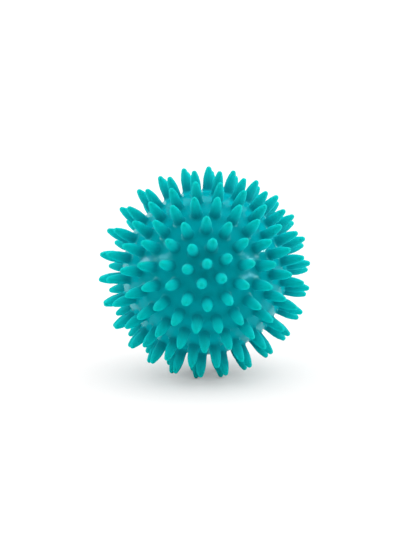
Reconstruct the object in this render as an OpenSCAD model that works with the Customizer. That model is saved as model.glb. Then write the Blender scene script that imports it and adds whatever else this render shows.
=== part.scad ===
// Spiked sensory ball of soft vinyl: two moulded half shells, lapped and bonded at the equator,
// with a push-in stopper that closes the air valve in the middle of the rear half.
// It stands on three spike tips. Lengths are in millimetres and angles in degrees.

/* [Ball] */
// Diameter over the spike tips
outer_d = 80; // [72:1:110]
// Thickness of the moulded wall
wall = 2.4; // [2:0.1:4]

/* [Spikes] */
// Height of a spike above the skin
spike_h = 9.2; // [7:0.1:11]
// Diameter of a spike's shank
spike_d = 4; // [3:0.1:4.6]
// Height above the skin at which the shank starts to narrow
shoulder_h = 3; // [1.5:0.1:4]
// Radius of a spike's rounded nose
nose_r = 1; // [0.5:0.05:1.2]
// Radius of the fillet between a spike and the skin
fillet_r = 1; // [0.4:0.1:1.2]
// Depth of a spike's root in the wall
root_depth = 0.8; // [0.5:0.1:1.5]

/* [Seam] */
// Length of the lap that the front half pushes into the rear half
lap_length = 2.5; // [1.5:0.1:4]
// Thickness of the lap
lap_t = 1; // [0.6:0.1:1.4]
// Step between the inner wall and the lap
lap_step = 0.2; // [0.1:0.05:0.4]
// Gap that the adhesive fills round the lap
glue_gap = 0.1; // [0.05:0.01:0.2]

/* [Valve] */
// Diameter of the stopper's shank
stopper_d = 3.4; // [2.4:0.1:4]
// Clearance between the shank and the bush, on the radius
stopper_clearance = 0.05; // [0.02:0.01:0.1]
// Width of the ledge on which the stopper's neck sits
seat_ledge = 0.5; // [0.3:0.05:0.7]
// Height of the neck, which leaves room for a nail under the rim
neck_h = 0.5; // [0.3:0.05:0.8]
// Overhang of the rim past the neck
rim_overhang = 0.5; // [0.3:0.05:0.7]
// Thickness of the rim
rim_t = 0.6; // [0.4:0.05:1]
// Rise of the stopper's domed top above its rim
dome_h = 0.4; // [0.2:0.05:0.6]
// Length of the stopper's tapered end
taper_length = 1; // [0.5:0.1:1.5]
// Narrowing of the tapered end, on the radius
taper_in = 0.5; // [0.2:0.05:0.8]
// Gap round the rim in its dish
nail_gap = 0.5; // [0.3:0.05:0.8]
// Depth of the dish below the skin
dish_depth = 1; // [0.6:0.1:1.4]
// Wall of the bush round the shank
bush_wall = 0.9; // [0.7:0.05:1.4]
// Width of the bush's flange past its tube
flange_w = 2; // [1:0.1:3]
// Thickness of the bush's flange
flange_t = 1.4; // [1:0.1:2]
// Height of the pad inside the wall that the flange is bonded to
pad_h = 1.6; // [1.2:0.1:2.5]
// Width of the pad past the flange
pad_margin = 0.6; // [0.3:0.1:1.2]

/* [Hidden] */

// Facets round the ball and round a spike or a valve piece
ball_fn = 144;
spike_fn = 36;
valve_fn = 48;

// Length by which a cut or a joined root runs past the face that it starts from
overrun = 0.5;

// Rings of spikes from the pole to the seam: count, angle from the pole, and turn of the first spike
rings = [
    [1, 0, 0],
    [6, 12, 15],
    [12, 24.5, 0.5],
    [18, 38, 0.5],
    [21, 51, 11.5],
    [24, 66, 6.5],
    [26, 82, 4.5]
];
// Angle that the turns of a front spike and of the same spike of the turned-over rear half add up to
half_clocking = 90;
// The three spikes of the rear half that stand on the floor: ring, and number in the ring
rest_spikes = [[5, 11], [5, 12], [6, 13]];

// Steps along a spike's narrowing side and round its nose
side_steps = 5;
nose_steps = 3;

outer_r = outer_d / 2;
skin_r = outer_r - spike_h;
inner_r = skin_r - wall;
spike_r = spike_d / 2;

// The side is an arc that leaves the shank upright and runs smoothly into the nose
nose_z = spike_h - nose_r;
side_rise = nose_z - shoulder_h;
side_r = (spike_r ^ 2 + side_rise ^ 2 - nose_r ^ 2) / (2 * (spike_r - nose_r));
side_angle = atan2(side_rise, side_r - spike_r);
// The fillet is cut short at half its turn and goes on straight, so that it crosses the skin cleanly
fillet_cut = 45;
flare_r = spike_r + fillet_r * (1 - cos(fillet_cut));
flare_z = fillet_r * (1 - sin(fillet_cut));
root_z = -root_depth;
sink_z = root_z / 4;
root_r = flare_r + flare_z - sink_z;

// The very tip is a small flat
nose_flat_share = 0.25;

// Half section of a spike, with its height counted from the skin
spike_outline = concat(
    [[0, root_z], [root_r, root_z], [root_r, sink_z], [flare_r, flare_z], [spike_r, fillet_r]],
    [for (i = [0 : side_steps]) let (a = side_angle * i / side_steps)
        [spike_r - side_r * (1 - cos(a)), shoulder_h + side_r * sin(a)]],
    [for (i = [1 : nose_steps - 1]) let (a = side_angle + (90 - side_angle) * i / nose_steps)
        [nose_r * cos(a), nose_z + nose_r * sin(a)]],
    [[nose_r * nose_flat_share, spike_h], [0, spike_h]]
);

function spike_turn(ring, number) = rings[ring][2] + 360 / rings[ring][0] * number;
function direction(angle, turn) = [sin(angle) * cos(turn), sin(angle) * sin(turn), cos(angle)];
function rear_direction(ring, number) =
    direction(180 - rings[ring][1], half_clocking - spike_turn(ring, number));

// The floor is the plane through the three resting tips, and the ball is turned to stand on it
rest_tips = [for (s = rest_spikes) rear_direction(s[0], s[1])];
rest_cross = cross(rest_tips[1] - rest_tips[0], rest_tips[2] - rest_tips[0]);
floor_normal = rest_cross / norm(rest_cross) * sign(rest_cross * rest_tips[0]);
floor_angle = acos(floor_normal[2]);
floor_turn = atan2(floor_normal[1], floor_normal[0]);
rest_lean = acos(floor_normal * rest_tips[0]);
centre_h = max([for (p = spike_outline) (skin_r + p[1]) * cos(rest_lean) + p[0] * sin(rest_lean)]);

lap_in_r = inner_r + lap_step;
lap_out_r = lap_in_r + lap_t;

stopper_r = stopper_d / 2;
neck_r = stopper_r + seat_ledge;
rim_r = neck_r + rim_overhang;
dish_r = rim_r + nail_gap;
bore_r = stopper_r + stopper_clearance;
bush_r = bore_r + bush_wall;
flange_r = bush_r + flange_w;
pad_r = flange_r + pad_margin;
seat_z = skin_r - dish_depth;
pad_z = inner_r - pad_h;
bush_end_z = pad_z - flange_t;
taper_z = bush_end_z;
stopper_end_z = taper_z - taper_length;
rim_z = seat_z + neck_h;
rim_top_z = rim_z + rim_t;

// Sets a piece that was made round the ball's centre, with the front pole up, on the floor facing -Y
module standing() {
    translate([0, 0, centre_h])
        rotate([0, 0, -90])
            rotate([0, 180 - floor_angle, 0])
                rotate([0, 0, -floor_turn])
                    children();
}

// Turns a half over about a line across the seam
module turned_over() {
    rotate(180, [cos(half_clocking / 2), sin(half_clocking / 2), 0])
        children();
}

module half_wall() {
    difference() {
        sphere(skin_r, $fn = ball_fn);
        sphere(inner_r, $fn = ball_fn);
        translate([0, 0, -outer_d])
            cylinder(h = outer_d, r = outer_d, $fn = ball_fn);
    }
}

module spikes(first_ring) {
    for (ring = [first_ring : len(rings) - 1], number = [0 : rings[ring][0] - 1])
        rotate([0, rings[ring][1], spike_turn(ring, number)])
            translate([0, 0, skin_r])
                rotate_extrude($fn = spike_fn)
                    polygon(spike_outline);
}

module lap() {
    translate([0, 0, -lap_length])
        difference() {
            cylinder(h = lap_length + overrun, r = lap_out_r, $fn = ball_fn);
            translate([0, 0, -overrun])
                cylinder(h = lap_length + 3 * overrun, r = lap_in_r, $fn = ball_fn);
        }
}

module lap_seat() {
    translate([0, 0, -overrun])
        cylinder(h = lap_length + glue_gap + overrun, r = lap_out_r + glue_gap, $fn = ball_fn);
}

module valve_pad() {
    translate([0, 0, pad_z])
        cylinder(h = pad_h + wall / 2, r = pad_r, $fn = valve_fn);
}

module valve_hole() {
    translate([0, 0, pad_z - overrun])
        cylinder(h = outer_r - pad_z, r = bush_r, $fn = valve_fn);
    translate([0, 0, seat_z])
        cylinder(h = outer_r - seat_z, r = dish_r, $fn = valve_fn);
}

module front_shell() {
    color("darkturquoise") standing() {
        half_wall();
        spikes(0);
        lap();
    }
}

module rear_shell() {
    color("darkturquoise") standing() turned_over() difference() {
        union() {
            half_wall();
            spikes(1);
            valve_pad();
        }
        lap_seat();
        valve_hole();
    }
}

module valve_bush() {
    color("teal") standing() turned_over()
        rotate_extrude($fn = valve_fn)
            polygon([
                [bore_r, bush_end_z],
                [flange_r, bush_end_z],
                [flange_r, pad_z],
                [bush_r, pad_z],
                [bush_r, seat_z],
                [bore_r, seat_z]
            ]);
}

module valve_stopper() {
    color("ivory") standing() turned_over()
        rotate_extrude($fn = valve_fn)
            polygon([
                [0, stopper_end_z],
                [stopper_r - taper_in, stopper_end_z],
                [stopper_r, taper_z],
                [stopper_r, seat_z],
                [neck_r, seat_z],
                [neck_r, rim_z],
                [rim_r, rim_z],
                [rim_r, rim_top_z],
                [neck_r, rim_top_z + dome_h / 2],
                [0, rim_top_z + dome_h]
            ]);
}

front_shell();
rear_shell();
valve_bush();
valve_stopper();
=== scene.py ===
import math

import bmesh
import bpy
from mathutils import Matrix, Vector
from mathutils.geometry import delaunay_2d_cdt


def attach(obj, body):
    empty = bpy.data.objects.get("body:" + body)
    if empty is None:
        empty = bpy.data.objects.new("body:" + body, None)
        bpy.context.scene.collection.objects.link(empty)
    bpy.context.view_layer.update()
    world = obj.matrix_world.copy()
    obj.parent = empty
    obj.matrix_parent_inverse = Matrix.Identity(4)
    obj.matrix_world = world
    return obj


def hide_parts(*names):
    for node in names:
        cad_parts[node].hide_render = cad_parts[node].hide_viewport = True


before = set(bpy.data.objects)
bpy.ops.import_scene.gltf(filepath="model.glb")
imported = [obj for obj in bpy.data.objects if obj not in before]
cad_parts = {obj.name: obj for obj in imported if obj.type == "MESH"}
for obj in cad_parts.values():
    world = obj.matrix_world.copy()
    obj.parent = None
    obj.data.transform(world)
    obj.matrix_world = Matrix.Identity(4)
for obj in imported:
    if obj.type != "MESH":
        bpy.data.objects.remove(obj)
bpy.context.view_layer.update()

# Sizes of the ball and its spikes, as the solids have them, in metres
MM = 0.001
OUTER_R = 40 * MM
SPIKE_H = 9.2 * MM
SPIKE_R = 2.0 * MM
SHOULDER_H = 3.0 * MM
NOSE_R = 1.0 * MM
NOSE_FLAT_R = NOSE_R / 4
FILLET_R = 1.0 * MM
WALL = 2.4 * MM
SKIN_R = OUTER_R - SPIKE_H
INNER_R = SKIN_R - WALL

# Lapped seam between the halves, with the small edge break that shows as a fine line round the equator
LAP_LENGTH = 2.5 * MM
LAP_T = 1.0 * MM
LAP_STEP = 0.2 * MM
GLUE_GAP = 0.1 * MM
SEAM_BREAK = 0.12 * MM
LAP_IN_R = INNER_R + LAP_STEP
LAP_OUT_R = LAP_IN_R + LAP_T

# Valve at the rear pole: widths, heights and gaps, with the edge break of its small parts
STOPPER_R = 1.7 * MM
STOPPER_CLEARANCE = 0.05 * MM
SEAT_LEDGE = 0.5 * MM
RIM_OVERHANG = 0.5 * MM
RIM_T = 0.6 * MM
NAIL_GAP = 0.5 * MM
NECK_H = 0.5 * MM
DOME_H = 0.4 * MM
TAPER_LENGTH = 1.0 * MM
TAPER_IN = 0.5 * MM
DISH_DEPTH = 1.0 * MM
BUSH_WALL = 0.9 * MM
FLANGE_W = 2.0 * MM
FLANGE_T = 1.4 * MM
PAD_H = 1.6 * MM
PAD_MARGIN = 0.6 * MM
EDGE_BREAK = 0.15 * MM

# Radii of the valve, and its heights from the ball's centre
NECK_R = STOPPER_R + SEAT_LEDGE
RIM_R = NECK_R + RIM_OVERHANG
DISH_R = RIM_R + NAIL_GAP
BUSH_R = STOPPER_R + STOPPER_CLEARANCE + BUSH_WALL
PAD_R = BUSH_R + FLANGE_W + PAD_MARGIN
SEAT_Z = SKIN_R - DISH_DEPTH
PAD_Z = INNER_R - PAD_H
TAPER_Z = PAD_Z - FLANGE_T
STOPPER_END_Z = TAPER_Z - TAPER_LENGTH
RIM_Z = SEAT_Z + NECK_H
RIM_TOP_Z = RIM_Z + RIM_T

# Round edge of the stopper's rim, where it ends in degrees, and the dome's height half-way out to the neck
RIM_ROUND = 2 * EDGE_BREAK
RIM_ROUND_END = 80
DOME_SHOULDER_H = 0.7 * DOME_H

# Rings of spikes from the pole to the seam: count, angle from the pole, and turn of the first spike
RINGS = [
    (1, 0, 0),
    (6, 12, 15),
    (12, 24.5, 0.5),
    (18, 38, 0.5),
    (21, 51, 11.5),
    (24, 66, 6.5),
    (26, 82, 4.5),
]
# Angle that the turns of a front spike and of the same spike of the turned-over rear half add up to
HALF_CLOCKING = 90
# The three spikes of the rear half that stand on the floor: ring, and number in the ring
REST_SPIKES = [(5, 11), (5, 12), (6, 13)]

# Mesh density
SPIKE_SIDES = 10
LATHE_SIDES = 96
STOPPER_SIDES = 48
FILLET_STEPS = 2
SIDE_STEPS = 3
NOSE_STEPS = 2
INSIDE_STEPS = 16
RIM_STEPS = 4
SKIN_POINTS = 1800

# Room that the points of the skin keep round a spike's foot and the valve's dish, as factors, and at the seam
FOOT_ROOM = 1.25
DISH_ROOM = 1.3
SEAM_ROOM = 1.25 / math.sqrt(SKIN_POINTS)
# Distance in the flattened skin at which two points count as one
SAME_POINT = 1e-9

# Camera, with the ball's centre at this pixel of the photograph's frame
FRAME_PX = (412, 549)
CENTRE_PX = (204.3, 272.7)
TIP_CIRCLE_PX = 106.6
CAMERA_AZIMUTH = -1.8
CAMERA_ELEVATION = 11.53
CAMERA_ROLL = -0.64
CAMERA_DISTANCE = 16 * OUTER_R
CAMERA_REACH = 100 * CAMERA_DISTANCE

# Colours of the ball's vinyl from the skin to the tip, by the share of a spike's height, with painted shade
# at the foot of a spike, painted light higher up, and the tip toned down again
VINYL_COLOURS_WITH_PAINTED_LIGHT_AND_SHADE = [
    (0.0, (0.0, 0.360, 0.412)),
    (0.03, (0.0, 0.360, 0.412)),
    (0.08, (0.0, 0.270, 0.315)),
    (0.22, (0.0, 0.270, 0.315)),
    (0.45, (0.0, 0.380, 0.405)),
    (0.7, (0.0, 0.435, 0.443)),
    (0.9, (0.0, 0.400, 0.388)),
    (1.0, (0.0, 0.350, 0.326)),
]
# Share of the light that goes into the ball's vinyl, how deep, and the shares of that for red, green and blue
VINYL_SOFTNESS = 0.9
VINYL_DEPTH = 3.5 * MM
VINYL_DEPTH_SHARES = (0.1, 1.0, 1.0)
# Gloss of the ball's vinyl, strong on the skin and gone at the last of these, a share of a spike's height
VINYL_IOR = 1.53
GLOSS_LEVEL = 0.03
GLOSS_TINT = (0.2, 1.0, 1.0, 1.0)
SKIN_ROUGHNESS = 0.06
SPIKE_ROUGHNESS = 1.0
GLOSS_END = 0.04
# Change of the ball's roughness and of its tone over the surface
BALL_ROUGHNESS_CHANGE = (-0.05, 0.1)
BALL_TONES = (0.95, 1.05)

# Colours of the bush and the stopper by the mottling, their roughness, and the stopper's softness
BUSH_COLOURS = [(0.3, (0.0, 0.17, 0.19)), (0.7, (0.0, 0.23, 0.25))]
BUSH_ROUGHNESS = (0.45, 0.65)
STOPPER_COLOURS = [(0.3, (0.70, 0.69, 0.64)), (0.7, (0.80, 0.79, 0.74))]
STOPPER_ROUGHNESS = (0.35, 0.5)
STOPPER_SOFTNESS = 0.15
STOPPER_DEPTH = 1 * MM

# Moulded surface of each finish: sizes of its grain, orange peel and mottling, then its relief's depth
# and strength
BALL_GRAIN = (0.3 * MM, 1.1 * MM, 7 * MM)
BALL_RELIEF = (0.04 * MM, 0.4)
BUSH_GRAIN = (0.25 * MM, 0.9 * MM, 3 * MM)
BUSH_RELIEF = (0.02 * MM, 0.4)
STOPPER_GRAIN = (0.2 * MM, 0.8 * MM, 2 * MM)
STOPPER_RELIEF = (0.015 * MM, 0.3)
# Part of the noise's range that is spread from zero to one, and the grain's height beside the peel's
NOISE_RANGE = (0.3, 0.7)
GRAIN_SHARE = 0.35

# Room light: strength at the front, over the ball and straight behind it, and what is added at the top,
# the left and the right
ROOM_FRONT = 0.3
ROOM_MIDDLE = 1.2
ROOM_BEHIND = 0.7
ROOM_TOP = 0.7
ROOM_LEFT = 0.7
ROOM_RIGHT = 1.2
# Where these begin and end along their axes, from -1 to 1 across the room
MIDDLE_FROM_FRONT = (-1, 0.2)
BEHIND_FROM_MIDDLE = (0.3, 1)
TOP_RANGE = (0.3, 1)
LEFT_RANGE = (-0.7, -1)
RIGHT_RANGE = (0.7, 1)

# Gloss strips on the left and the right: turn, rise, width and height in degrees from the ball, then watts
STRIPS = [(-86, 26, 44, 40, 21), (83, 11, 46, 36, 25)]
STRIP_DISTANCE = 12 * OUTER_R

# Key light: its level on the floor, then its place and spread in degrees
KEY_LEVEL = 0.15
KEY_FROM_TOP = 32
KEY_TURN = -50
KEY_SPREAD = 60

# Floor: its half width, how white it is to falling light and to the eye, the lift of its shadow to the eye,
# which is a little warm against the ball's colour there, and the reach of the painted shadow that darkens the
# lift close under the ball
FLOOR_HALF = 250 * OUTER_R
FLOOR_WHITE = 0.9
FLOOR_SEEN = 0.45
FLOOR_LIFT = 0.515
FLOOR_TINT = (1.0, 0.96, 0.955, 1.0)
PAINTED_SHADOW_REACH = 10 * MM


# How the ball stands

def direction(angle, turn):
    """Unit vector at an angle from the Z axis and a turn about it, both in degrees."""
    a, t = math.radians(angle), math.radians(turn)
    return Vector((math.sin(a) * math.cos(t), math.sin(a) * math.sin(t), math.cos(a)))


def spike_turn(ring, number):
    count, _, turn = RINGS[ring]
    return turn + 360 / count * number


def rear_direction(ring, number):
    return direction(180 - RINGS[ring][1], HALF_CLOCKING - spike_turn(ring, number))


def floor_normal():
    a, b, c = (rear_direction(*s) for s in REST_SPIKES)
    n = (b - a).cross(c - a).normalized()
    return n if n.dot(a) > 0 else -n


def standing_matrix():
    """From the ball's own frame, front pole up and centre at zero, to the standing frame."""
    n = floor_normal()
    lean = n.angle(rear_direction(*REST_SPIKES[0]))
    height = OUTER_R * math.cos(lean) + NOSE_FLAT_R * math.sin(lean)
    turn = Matrix.Rotation(-math.atan2(n.y, n.x), 4, "Z")
    tilt = Matrix.Rotation(math.pi - math.acos(n.z), 4, "Y")
    return Matrix.Translation((0, 0, height)) @ Matrix.Rotation(-math.pi / 2, 4, "Z") @ tilt @ turn


def turned_over_matrix():
    a = math.radians(HALF_CLOCKING / 2)
    return Matrix.Rotation(math.pi, 4, Vector((math.cos(a), math.sin(a), 0)))


# Outlines as (radius, height) points

def arc(centre, radius, start, end, steps):
    """Points on an arc between two angles in degrees, both ends included."""
    angles = [math.radians(start + (end - start) * i / steps) for i in range(steps + 1)]
    return [(centre[0] + radius * math.cos(a), centre[1] + radius * math.sin(a)) for a in angles]


def spike_outline():
    """Half section of a spike from its fillet on the skin to its nose, with heights from the skin."""
    nose_z = SPIKE_H - NOSE_R
    rise = nose_z - SHOULDER_H
    side_r = (SPIKE_R ** 2 + rise ** 2 - NOSE_R ** 2) / (2 * (SPIKE_R - NOSE_R))
    side_angle = math.degrees(math.atan2(rise, side_r - SPIKE_R))
    fillet_x = SPIKE_R + FILLET_R
    fillet_z = math.sqrt((SKIN_R + FILLET_R) ** 2 - fillet_x ** 2) - SKIN_R
    skin_angle = math.degrees(math.atan2(SKIN_R + fillet_z, fillet_x)) + 180
    fillet = arc((fillet_x, fillet_z), FILLET_R, skin_angle, 180, FILLET_STEPS)
    side = arc((SPIKE_R - side_r, SHOULDER_H), side_r, 0, side_angle, SIDE_STEPS)
    nose = arc((0, nose_z), NOSE_R, side_angle, 90, NOSE_STEPS)
    return fillet + side[1:] + nose[1:-1] + [(0, SPIKE_H)]


def inner_arc(to_r):
    """Inner wall from the seam up to the given radius."""
    end = math.degrees(math.acos(to_r / INNER_R))
    return list(reversed(arc((0, 0), INNER_R, end, 0, INSIDE_STEPS)))


# Meshes

def new_object(name, mesh, material):
    mesh.materials.clear()
    mesh.materials.append(material)
    mesh.shade_smooth()
    obj = bpy.data.objects.new(name, mesh)
    bpy.context.collection.objects.link(obj)
    return obj


def lathe(bm, outline, sides):
    """Turns an outline about the Z axis, with one vertex for a point on it. Returns the rows of vertices."""
    rows = []
    for r, z in outline:
        if r == 0:
            rows.append([bm.verts.new((0, 0, z))])
            continue
        angles = [2 * math.pi * i / sides for i in range(sides)]
        rows.append([bm.verts.new((r * math.cos(a), r * math.sin(a), z)) for a in angles])
    for low, high in zip(rows, rows[1:]):
        for i in range(sides):
            j = (i + 1) % sides
            corners = [low[i % len(low)], low[j % len(low)], high[j % len(high)], high[i % len(high)]]
            unique = list(dict.fromkeys(corners))
            bm.faces.new(unique)
    return rows


def lathe_mesh(name, outline, sides):
    bm = bmesh.new()
    lathe(bm, outline, sides)
    bmesh.ops.recalc_face_normals(bm, faces=bm.faces)
    mesh = bpy.data.meshes.new(name)
    bm.to_mesh(mesh)
    bm.free()
    return mesh


def add_socket(tree, name, kind, in_out="INPUT"):
    tree.interface.new_socket(name=name, in_out=in_out, socket_type=kind)


def spike_ring_tree():
    """One ring of points on the skin, from its count, angle from the pole and turn."""
    tree = bpy.data.node_groups.new("spike ring", "GeometryNodeTree")
    add_socket(tree, "Count", "NodeSocketInt")
    add_socket(tree, "Angle", "NodeSocketFloat")
    add_socket(tree, "Turn", "NodeSocketFloat")
    add_socket(tree, "Skin Radius", "NodeSocketFloat")
    add_socket(tree, "Points", "NodeSocketGeometry", "OUTPUT")
    link = tree.links.new
    given = tree.nodes.new("NodeGroupInput")
    result = tree.nodes.new("NodeGroupOutput")

    def scaled(operation):
        share = tree.nodes.new("ShaderNodeMath")
        share.operation = operation
        link(given.outputs["Angle"], share.inputs[0])
        product = tree.nodes.new("ShaderNodeMath")
        product.operation = "MULTIPLY"
        link(share.outputs[0], product.inputs[0])
        link(given.outputs["Skin Radius"], product.inputs[1])
        return product.outputs[0]

    circle = tree.nodes.new("GeometryNodeMeshCircle")
    link(given.outputs["Count"], circle.inputs["Vertices"])
    link(scaled("SINE"), circle.inputs["Radius"])
    height = tree.nodes.new("ShaderNodeCombineXYZ")
    link(scaled("COSINE"), height.inputs["Z"])
    turn = tree.nodes.new("ShaderNodeCombineXYZ")
    link(given.outputs["Turn"], turn.inputs["Z"])
    place = tree.nodes.new("GeometryNodeTransform")
    link(circle.outputs["Mesh"], place.inputs["Geometry"])
    link(height.outputs[0], place.inputs["Translation"])
    link(turn.outputs[0], place.inputs["Rotation"])
    link(place.outputs["Geometry"], result.inputs["Points"])
    return tree


def spike_field_tree():
    """All the spikes of a half: rings of points, a spike on each, upright on the skin."""
    ring_tree = spike_ring_tree()
    tree = bpy.data.node_groups.new("spike field", "GeometryNodeTree")
    add_socket(tree, "Spike", "NodeSocketObject")
    add_socket(tree, "Vinyl", "NodeSocketMaterial")
    add_socket(tree, "Skin Radius", "NodeSocketFloat")
    add_socket(tree, "Pole Spikes", "NodeSocketInt")
    add_socket(tree, "Spikes", "NodeSocketGeometry", "OUTPUT")
    link = tree.links.new
    given = tree.nodes.new("NodeGroupInput")
    result = tree.nodes.new("NodeGroupOutput")

    points = tree.nodes.new("GeometryNodeJoinGeometry")
    for count, angle, turn in RINGS[1:]:
        ring = tree.nodes.new("GeometryNodeGroup")
        ring.node_tree = ring_tree
        ring.inputs["Count"].default_value = count
        ring.inputs["Angle"].default_value = math.radians(angle)
        ring.inputs["Turn"].default_value = math.radians(turn)
        link(given.outputs["Skin Radius"], ring.inputs["Skin Radius"])
        link(ring.outputs["Points"], points.inputs[0])
    top = tree.nodes.new("ShaderNodeCombineXYZ")
    link(given.outputs["Skin Radius"], top.inputs["Z"])
    pole = tree.nodes.new("GeometryNodeMeshLine")
    link(given.outputs["Pole Spikes"], pole.inputs["Count"])
    link(top.outputs[0], pole.inputs["Start Location"])
    link(pole.outputs["Mesh"], points.inputs[0])

    spike = tree.nodes.new("GeometryNodeObjectInfo")
    link(given.outputs["Spike"], spike.inputs["Object"])
    place = tree.nodes.new("GeometryNodeInputPosition")
    upright = tree.nodes.new("FunctionNodeAlignRotationToVector")
    upright.axis = "Z"
    link(place.outputs[0], upright.inputs["Vector"])
    instances = tree.nodes.new("GeometryNodeInstanceOnPoints")
    link(points.outputs[0], instances.inputs["Points"])
    link(spike.outputs["Geometry"], instances.inputs["Instance"])
    link(upright.outputs["Rotation"], instances.inputs["Rotation"])
    realize = tree.nodes.new("GeometryNodeRealizeInstances")
    link(instances.outputs[0], realize.inputs[0])
    finish = tree.nodes.new("GeometryNodeSetMaterial")
    link(realize.outputs[0], finish.inputs["Geometry"])
    link(given.outputs["Vinyl"], finish.inputs["Material"])
    link(finish.outputs["Geometry"], result.inputs["Spikes"])
    return tree


def spike_field_mesh(tree, spike, vinyl, pole_spikes):
    """The realized spikes of a half as a plain mesh, pole up and centre at zero."""
    holder = bpy.data.objects.new("spike field", bpy.data.meshes.new("spike field"))
    bpy.context.collection.objects.link(holder)
    modifier = holder.modifiers.new("spike field", "NODES")
    modifier.node_group = tree
    values = {"Spike": spike, "Vinyl": vinyl, "Skin Radius": SKIN_R, "Pole Spikes": pole_spikes}
    for item in tree.interface.items_tree:
        if item.in_out == "INPUT":
            modifier[item.identifier] = values[item.name]
    bpy.context.view_layer.update()
    evaluated = holder.evaluated_get(bpy.context.evaluated_depsgraph_get())
    mesh = bpy.data.meshes.new_from_object(evaluated)
    holder.modifiers.remove(modifier)
    bpy.data.objects.remove(holder)
    return mesh


def spike_axes(first_ring):
    rings = range(first_ring, len(RINGS))
    return [direction(RINGS[k][1], spike_turn(k, n)) for k in rings for n in range(RINGS[k][0])]


def even_points(count):
    """Points spread evenly over the upper half of a unit sphere."""
    golden = math.pi * (3 - math.sqrt(5))
    for i in range(count):
        z = 1 - (i + 0.5) / count
        r = math.sqrt(1 - z * z)
        yield Vector((r * math.cos(golden * i), r * math.sin(golden * i), z))


def add_skin(bm, loops, axes, foot_angle, hole_angle):
    """Fills the skin between the rings of vertices round each spike, the seam and any hole at the pole."""
    verts = [v for loop in loops for v in loop]
    clear_of_feet = math.cos(foot_angle * FOOT_ROOM)
    lowest = loops[0][0].co.z / SKIN_R + SEAM_ROOM
    highest = math.cos(hole_angle * DISH_ROOM)
    for p in even_points(SKIN_POINTS):
        nearest = max(p.dot(a) for a in axes)
        if nearest < clear_of_feet and lowest < p.z < highest:
            verts.append(bm.verts.new(p * SKIN_R))
    flat = [Vector((v.co.x, v.co.y)) / (SKIN_R + v.co.z) for v in verts]
    edges = []
    start = 0
    for loop in loops:
        edges += [(start + i, start + (i + 1) % len(loop)) for i in range(len(loop))]
        start += len(loop)
    _, _, faces, origin, _, _ = delaunay_2d_cdt(flat, edges, [], 0, SAME_POINT)
    inside_foot = math.cos(foot_angle * math.cos(math.pi / SPIKE_SIDES))
    for face in faces:
        corners = [verts[origin[i][0]] for i in face]
        middle = sum((v.co for v in corners), Vector()).normalized()
        in_spike = max(middle.dot(a) for a in axes) > inside_foot
        if not in_spike and middle.z < math.cos(hole_angle):
            bm.faces.new(corners)


def open_rims(bm):
    """Closed rings of boundary vertices, each in order."""
    left = dict.fromkeys(v for v in bm.verts if v.is_boundary)
    rims = []
    while left:
        v = next(iter(left))
        rim = []
        while v is not None:
            del left[v]
            rim.append(v)
            beside = [e.other_vert(v) for e in v.link_edges if e.is_boundary]
            v = next((w for w in beside if w in left), None)
        rims.append(rim)
    return rims


def half_shell(name, spikes, first_ring, inside, place, vinyl):
    """A closed half shell: the spikes, the skin between them, and the inside from the seam to the pole."""
    outline = spike_outline()
    foot_angle = math.atan2(outline[0][0], SKIN_R + outline[0][1])
    bm = bmesh.new()
    bm.from_mesh(spikes)
    rims = open_rims(bm)
    rows = lathe(bm, inside, LATHE_SIDES)
    hole_angle = 0 if len(rows[-1]) == 1 else math.asin(inside[-1][0] / SKIN_R)
    rims.insert(0, rows[0])
    if hole_angle:
        rims.append(rows[-1])
    add_skin(bm, rims, spike_axes(first_ring), foot_angle, hole_angle)
    bmesh.ops.recalc_face_normals(bm, faces=bm.faces)
    bm.transform(place)
    mesh = bpy.data.meshes.new(name)
    bm.to_mesh(mesh)
    bm.free()
    return new_object(name, mesh, vinyl)


# Materials

def grain_group():
    """Moulded surface: broad mottling, a change of gloss, and the height of fine grain on orange peel."""
    tree = bpy.data.node_groups.new("moulded grain", "ShaderNodeTree")
    add_socket(tree, "Position", "NodeSocketVector")
    add_socket(tree, "Grain Size", "NodeSocketFloat")
    add_socket(tree, "Peel Size", "NodeSocketFloat")
    add_socket(tree, "Mottle Size", "NodeSocketFloat")
    add_socket(tree, "Tone", "NodeSocketFloat", "OUTPUT")
    add_socket(tree, "Gloss Change", "NodeSocketFloat", "OUTPUT")
    add_socket(tree, "Height", "NodeSocketFloat", "OUTPUT")
    link = tree.links.new
    given = tree.nodes.new("NodeGroupInput")
    result = tree.nodes.new("NodeGroupOutput")

    def math_node(operation, first, second):
        node = tree.nodes.new("ShaderNodeMath")
        node.operation = operation
        for socket, value in zip(node.inputs, (first, second)):
            if isinstance(value, (int, float)):
                socket.default_value = value
            else:
                link(value, socket)
        return node.outputs[0]

    def noise(size, detail):
        node = tree.nodes.new("ShaderNodeTexNoise")
        node.inputs["Detail"].default_value = detail
        link(given.outputs["Position"], node.inputs["Vector"])
        link(math_node("DIVIDE", 1, given.outputs[size]), node.inputs["Scale"])
        spread = tree.nodes.new("ShaderNodeMapRange")
        spread.inputs["From Min"].default_value = NOISE_RANGE[0]
        spread.inputs["From Max"].default_value = NOISE_RANGE[1]
        link(node.outputs["Fac"], spread.inputs["Value"])
        return spread.outputs["Result"]

    grain = noise("Grain Size", 1)
    peel = noise("Peel Size", 1)
    mottle = noise("Mottle Size", 3)
    link(mottle, result.inputs["Tone"])
    link(math_node("MULTIPLY", peel, mottle), result.inputs["Gloss Change"])
    fine = math_node("MULTIPLY", grain, GRAIN_SHARE)
    link(math_node("ADD", fine, peel), result.inputs["Height"])
    return tree


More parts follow.
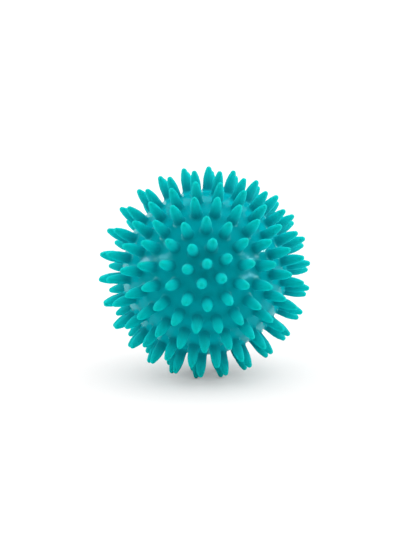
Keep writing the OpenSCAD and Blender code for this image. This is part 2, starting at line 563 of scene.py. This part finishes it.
class Finish:
    """A principled material with the moulded grain on it."""

    def __init__(self, name, grain, grain_size, peel_size, mottle_size):
        self.material = bpy.data.materials.new(name)
        self.material.use_nodes = True
        self.tree = self.material.node_tree
        self.shader = self.tree.nodes["Principled BSDF"]
        self.coords = self.tree.nodes.new("ShaderNodeTexCoord")
        self.grain = self.tree.nodes.new("ShaderNodeGroup")
        self.grain.node_tree = grain
        self.grain.inputs["Grain Size"].default_value = grain_size
        self.grain.inputs["Peel Size"].default_value = peel_size
        self.grain.inputs["Mottle Size"].default_value = mottle_size
        self.link(self.coords.outputs["Object"], self.grain.inputs["Position"])

    def link(self, source, target):
        self.tree.links.new(source, target)

    def set(self, **values):
        for name, value in values.items():
            self.shader.inputs[name.replace("_", " ")].default_value = value

    def bump(self, distance, strength):
        node = self.tree.nodes.new("ShaderNodeBump")
        node.inputs["Distance"].default_value = distance
        node.inputs["Strength"].default_value = strength
        self.link(self.grain.outputs["Height"], node.inputs["Height"])
        self.link(node.outputs["Normal"], self.shader.inputs["Normal"])

    def mapped(self, source, low, high, from_low=0.0, from_high=1.0):
        node = self.tree.nodes.new("ShaderNodeMapRange")
        node.inputs["From Min"].default_value = from_low
        node.inputs["From Max"].default_value = from_high
        node.inputs["To Min"].default_value = low
        node.inputs["To Max"].default_value = high
        self.link(source, node.inputs["Value"])
        return node.outputs["Result"]

    def ramp(self, source, stops):
        node = self.tree.nodes.new("ShaderNodeValToRGB")
        marks = node.color_ramp.elements
        while len(marks) < len(stops):
            marks.new(1)
        for mark, (position, colour) in zip(marks, stops):
            mark.position = position
            mark.color = (*colour, 1)
        self.link(source, node.inputs["Fac"])
        return node.outputs["Color"]

    def changing_roughness(self, low, high):
        return self.mapped(self.grain.outputs["Gloss Change"], low, high)

    def toned(self, colour, low, high):
        """The colour, lightened and darkened by the broad mottling."""
        node = self.tree.nodes.new("ShaderNodeHueSaturation")
        self.link(colour, node.inputs["Color"])
        self.link(self.mapped(self.grain.outputs["Tone"], low, high), node.inputs["Value"])
        return node.outputs["Color"]


def ball_vinyl(grain, centre):
    """Soft teal vinyl: glossy on the skin, with painted shade at the foot of a spike and painted light higher
    up.
    """
    finish = Finish("ball vinyl", grain, *BALL_GRAIN)
    from_centre = finish.tree.nodes.new("ShaderNodeVectorMath")
    from_centre.operation = "DISTANCE"
    from_centre.inputs[1].default_value = centre
    finish.link(finish.coords.outputs["Object"], from_centre.inputs[0])
    height = finish.mapped(from_centre.outputs["Value"], 0, 1, SKIN_R, OUTER_R)
    # The ramp paints shade at the foot of each spike and light higher up, and tones the tip down again
    colour = finish.ramp(height, VINYL_COLOURS_WITH_PAINTED_LIGHT_AND_SHADE)
    finish.link(finish.toned(colour, *BALL_TONES), finish.shader.inputs["Base Color"])
    roughness = finish.tree.nodes.new("ShaderNodeMath")
    finish.link(finish.mapped(height, SKIN_ROUGHNESS, SPIKE_ROUGHNESS, 0, GLOSS_END), roughness.inputs[0])
    finish.link(finish.changing_roughness(*BALL_ROUGHNESS_CHANGE), roughness.inputs[1])
    finish.link(roughness.outputs[0], finish.shader.inputs["Roughness"])
    finish.bump(*BALL_RELIEF)
    finish.set(Subsurface_Weight=VINYL_SOFTNESS, Subsurface_Scale=VINYL_DEPTH)
    finish.set(Subsurface_Radius=VINYL_DEPTH_SHARES)
    finish.set(IOR=VINYL_IOR, Specular_IOR_Level=GLOSS_LEVEL, Specular_Tint=GLOSS_TINT)
    return finish.material


def bush_vinyl(grain):
    """Darker vinyl of the bush, a little mottled."""
    finish = Finish("bush vinyl", grain, *BUSH_GRAIN)
    colour = finish.ramp(finish.grain.outputs["Tone"], BUSH_COLOURS)
    finish.link(colour, finish.shader.inputs["Base Color"])
    finish.link(finish.changing_roughness(*BUSH_ROUGHNESS), finish.shader.inputs["Roughness"])
    finish.bump(*BUSH_RELIEF)
    return finish.material


def stopper_plastic(grain):
    """Pale satin plastic of the stopper, a little milky."""
    finish = Finish("stopper plastic", grain, *STOPPER_GRAIN)
    colour = finish.ramp(finish.grain.outputs["Tone"], STOPPER_COLOURS)
    finish.link(colour, finish.shader.inputs["Base Color"])
    finish.link(finish.changing_roughness(*STOPPER_ROUGHNESS), finish.shader.inputs["Roughness"])
    finish.bump(*STOPPER_RELIEF)
    finish.set(Subsurface_Weight=STOPPER_SOFTNESS, Subsurface_Scale=STOPPER_DEPTH)
    return finish.material


# Scene: white floor and surroundings, soft light, and the camera

def seen_mask(tree):
    """One for what the eye sees, straight, in a reflection or through glass, and zero for falling light."""
    path = tree.nodes.new("ShaderNodeLightPath")
    mask = path.outputs["Is Camera Ray"]
    for ray in ("Is Glossy Ray", "Is Transmission Ray"):
        either = tree.nodes.new("ShaderNodeMath")
        either.operation = "MAXIMUM"
        tree.links.new(mask, either.inputs[0])
        tree.links.new(path.outputs[ray], either.inputs[1])
        mask = either.outputs[0]
    return mask


def floor_material():
    """White card that throws light back. To the eye its shadow is lighter, but for a painted shadow close
    under the ball.
    """
    material = bpy.data.materials.new("studio floor")
    material.use_nodes = True
    tree = material.node_tree
    tree.nodes.remove(tree.nodes["Principled BSDF"])

    def card(white):
        node = tree.nodes.new("ShaderNodeBsdfDiffuse")
        node.inputs["Color"].default_value = (white, white, white, 1)
        return node.outputs[0]

    # Ambient occlusion darkens the glow close under the ball: a painted shadow
    painted_contact_shadow = tree.nodes.new("ShaderNodeAmbientOcclusion")
    painted_contact_shadow.inputs["Distance"].default_value = PAINTED_SHADOW_REACH
    lift = tree.nodes.new("ShaderNodeMath")
    lift.operation = "MULTIPLY"
    lift.inputs[1].default_value = FLOOR_LIFT
    tree.links.new(painted_contact_shadow.outputs["AO"], lift.inputs[0])
    glow = tree.nodes.new("ShaderNodeEmission")
    glow.inputs["Color"].default_value = FLOOR_TINT
    tree.links.new(lift.outputs[0], glow.inputs["Strength"])
    seen = tree.nodes.new("ShaderNodeAddShader")
    tree.links.new(card(FLOOR_SEEN), seen.inputs[0])
    tree.links.new(glow.outputs[0], seen.inputs[1])
    choice = tree.nodes.new("ShaderNodeMixShader")
    tree.links.new(seen_mask(tree), choice.inputs["Fac"])
    tree.links.new(card(FLOOR_WHITE), choice.inputs[1])
    tree.links.new(seen.outputs[0], choice.inputs[2])
    tree.links.new(choice.outputs[0], tree.nodes["Material Output"].inputs["Surface"])
    return material


def make_floor():
    corners = [(x * FLOOR_HALF, y * FLOOR_HALF, 0) for x, y in ((-1, -1), (1, -1), (1, 1), (-1, 1))]
    mesh = bpy.data.meshes.new("studio floor")
    mesh.from_pydata(corners, [], [(0, 1, 2, 3)])
    floor = new_object("studio_floor", mesh, floor_material())


def make_world():
    """White room to the eye. Its light comes from the sides and the top more than from the front."""
    world = bpy.data.worlds.new("studio")
    world.use_nodes = True
    bpy.context.scene.world = world
    tree = world.node_tree
    background = tree.nodes["Background"]
    background.inputs["Color"].default_value = (1, 1, 1, 1)
    sight = tree.nodes.new("ShaderNodeTexCoord")
    parts = tree.nodes.new("ShaderNodeSeparateXYZ")
    tree.links.new(sight.outputs["Generated"], parts.inputs[0])

    def mapped(axis, span, low, high):
        node = tree.nodes.new("ShaderNodeMapRange")
        node.inputs["From Min"].default_value = span[0]
        node.inputs["From Max"].default_value = span[1]
        node.inputs["To Min"].default_value = low
        node.inputs["To Max"].default_value = high
        tree.links.new(parts.outputs[axis], node.inputs["Value"])
        return node.outputs["Result"]

    def combined(operation, first, second):
        node = tree.nodes.new("ShaderNodeMath")
        node.operation = operation
        tree.links.new(first, node.inputs[0])
        tree.links.new(second, node.inputs[1])
        return node.outputs[0]

    light = mapped("Y", MIDDLE_FROM_FRONT, ROOM_FRONT, ROOM_MIDDLE)
    light = combined("MULTIPLY", light, mapped("Y", BEHIND_FROM_MIDDLE, 1, ROOM_BEHIND / ROOM_MIDDLE))
    light = combined("ADD", light, mapped("Z", TOP_RANGE, 0, ROOM_TOP))
    light = combined("ADD", light, mapped("X", LEFT_RANGE, 0, ROOM_LEFT))
    light = combined("ADD", light, mapped("X", RIGHT_RANGE, 0, ROOM_RIGHT))
    strength = tree.nodes.new("ShaderNodeMapRange")
    strength.inputs["To Max"].default_value = 1.0
    tree.links.new(seen_mask(tree), strength.inputs["Value"])
    tree.links.new(light, strength.inputs["To Min"])
    tree.links.new(strength.outputs["Result"], background.inputs["Strength"])


def make_key_light():
    """A wide soft light, even over the whole floor, that brings the light there up to the plain level."""
    data = bpy.data.lights.new("key light", "SUN")
    data.angle = math.radians(KEY_SPREAD)
    towards = direction(KEY_FROM_TOP, KEY_TURN)
    data.energy = math.pi * KEY_LEVEL / towards.z
    lamp = bpy.data.objects.new("key light", data)
    lamp.rotation_euler = towards.to_track_quat("Z", "Y").to_euler()
    bpy.context.collection.objects.link(lamp)


def make_gloss_strips(centre):
    """A soft strip on the left and on the right, which shows only in the gloss of the skin."""

    def width_at(degrees):
        return 2 * STRIP_DISTANCE * math.tan(math.radians(degrees / 2))

    for turn, rise, wide, high, power in STRIPS:
        data = bpy.data.lights.new("gloss strip", "AREA")
        data.shape = "RECTANGLE"
        data.size = width_at(wide)
        data.size_y = width_at(high)
        data.energy = power
        towards = direction(90 - rise, turn - 90)
        strip = bpy.data.objects.new("gloss strip", data)
        strip.location = centre + towards * STRIP_DISTANCE
        strip.rotation_euler = towards.to_track_quat("Z", "Y").to_euler()
        strip.visible_camera = False
        strip.visible_diffuse = False
        bpy.context.collection.objects.link(strip)


def make_camera(centre):
    a, e = math.radians(CAMERA_AZIMUTH), math.radians(CAMERA_ELEVATION)
    back = Vector((math.sin(a) * math.cos(e), -math.cos(a) * math.cos(e), math.sin(e)))
    data = bpy.data.cameras.new("camera")
    data.sensor_fit = "VERTICAL"
    data.sensor_height = data.sensor_width
    ratio = CAMERA_DISTANCE / OUTER_R
    focal_px = TIP_CIRCLE_PX * math.sqrt(ratio ** 2 - 1)
    data.lens = data.sensor_height * focal_px / FRAME_PX[1]
    data.shift_x = (FRAME_PX[0] / 2 - CENTRE_PX[0]) / FRAME_PX[1]
    data.shift_y = (CENTRE_PX[1] - FRAME_PX[1] / 2) / FRAME_PX[1]
    data.clip_start = OUTER_R
    data.clip_end = CAMERA_REACH
    camera = bpy.data.objects.new("camera", data)
    camera.location = centre + back * CAMERA_DISTANCE
    level = (-back).to_track_quat("-Z", "Y").to_matrix().to_4x4()
    roll = Matrix.Rotation(math.radians(CAMERA_ROLL), 4, back)
    camera.rotation_euler = (roll @ level).to_euler()
    bpy.context.collection.objects.link(camera)
    bpy.context.scene.camera = camera


# Building

bpy.context.scene.view_settings.view_transform = "Standard"
stand = standing_matrix()
centre = stand.translation.copy()
make_camera(centre)
make_floor()
make_world()
make_key_light()
make_gloss_strips(centre)

grain = grain_group()
vinyl = ball_vinyl(grain, centre)

# A spike of few sides is turned a little larger, so that it looks as wide as a round one
fuller = math.pi / (SPIKE_SIDES * math.sin(math.pi / SPIKE_SIDES))
spike_mesh = lathe_mesh("spike", [(r * fuller, z) for r, z in spike_outline()], SPIKE_SIDES)
spike = new_object("spike", spike_mesh, vinyl)
field = spike_field_tree()

# Insides of the halves, from the seam to the pole
seam_edge = [(math.sqrt(SKIN_R ** 2 - SEAM_BREAK ** 2), SEAM_BREAK), (SKIN_R - SEAM_BREAK, 0)]
lap = [(LAP_OUT_R, 0), (LAP_OUT_R, -LAP_LENGTH), (LAP_IN_R, -LAP_LENGTH), (LAP_IN_R, 0)]
front_inside = seam_edge + lap + inner_arc(0)[:-1] + [(0, INNER_R)]

seat_r = LAP_OUT_R + GLUE_GAP
seat_end = LAP_LENGTH + GLUE_GAP
lap_seat = [(seat_r, 0), (seat_r, seat_end), (math.sqrt(INNER_R ** 2 - seat_end ** 2), seat_end)]
rear_wall = [p for p in inner_arc(PAD_R) if p[1] > seat_end]
valve_hole = [(PAD_R, PAD_Z), (BUSH_R, PAD_Z), (BUSH_R, SEAT_Z), (DISH_R, SEAT_Z)]
dish_top = math.sqrt(SKIN_R ** 2 - (DISH_R + EDGE_BREAK) ** 2)
dish_edge = [(DISH_R, dish_top - EDGE_BREAK), (DISH_R + EDGE_BREAK, dish_top)]
rear_inside = seam_edge + lap_seat + rear_wall + valve_hole + dish_edge

front_spikes = spike_field_mesh(field, spike, vinyl, 1)
front_half = half_shell("front_half", front_spikes, 0, front_inside, stand, vinyl)
rear_place = stand @ turned_over_matrix()
rear_spikes = spike_field_mesh(field, spike, vinyl, 0)
rear_half = half_shell("rear_half", rear_spikes, 1, rear_inside, rear_place, vinyl)
bpy.data.objects.remove(spike)

# Stopper, from its tapered end to its domed top
end_r = STOPPER_R - TAPER_IN
stopper_outline = [(0, STOPPER_END_Z), (end_r - EDGE_BREAK, STOPPER_END_Z)]
stopper_outline += [(end_r, STOPPER_END_Z + EDGE_BREAK), (STOPPER_R, TAPER_Z), (STOPPER_R, SEAT_Z)]
stopper_outline += [(NECK_R, SEAT_Z), (NECK_R, RIM_Z)]
stopper_outline += [(RIM_R - EDGE_BREAK, RIM_Z), (RIM_R, RIM_Z + EDGE_BREAK)]
stopper_outline += arc((RIM_R - RIM_ROUND, RIM_TOP_Z - RIM_ROUND), RIM_ROUND, 0, RIM_ROUND_END, RIM_STEPS)
stopper_outline += [(NECK_R / 2, RIM_TOP_Z + DOME_SHOULDER_H), (0, RIM_TOP_Z + DOME_H)]
stopper_mesh = lathe_mesh("stopper", stopper_outline, STOPPER_SIDES)
stopper_mesh.transform(rear_place)
stopper = new_object("stopper", stopper_mesh, stopper_plastic(grain))

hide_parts("front_shell")
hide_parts("rear_shell")
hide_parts("valve_stopper")
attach(front_half, "ball")
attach(rear_half, "ball")
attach(stopper, "stopper")

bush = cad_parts["valve_bush"]
bush_finish = bush_vinyl(grain)
for slot in bush.material_slots:
    slot.material = bush_finish
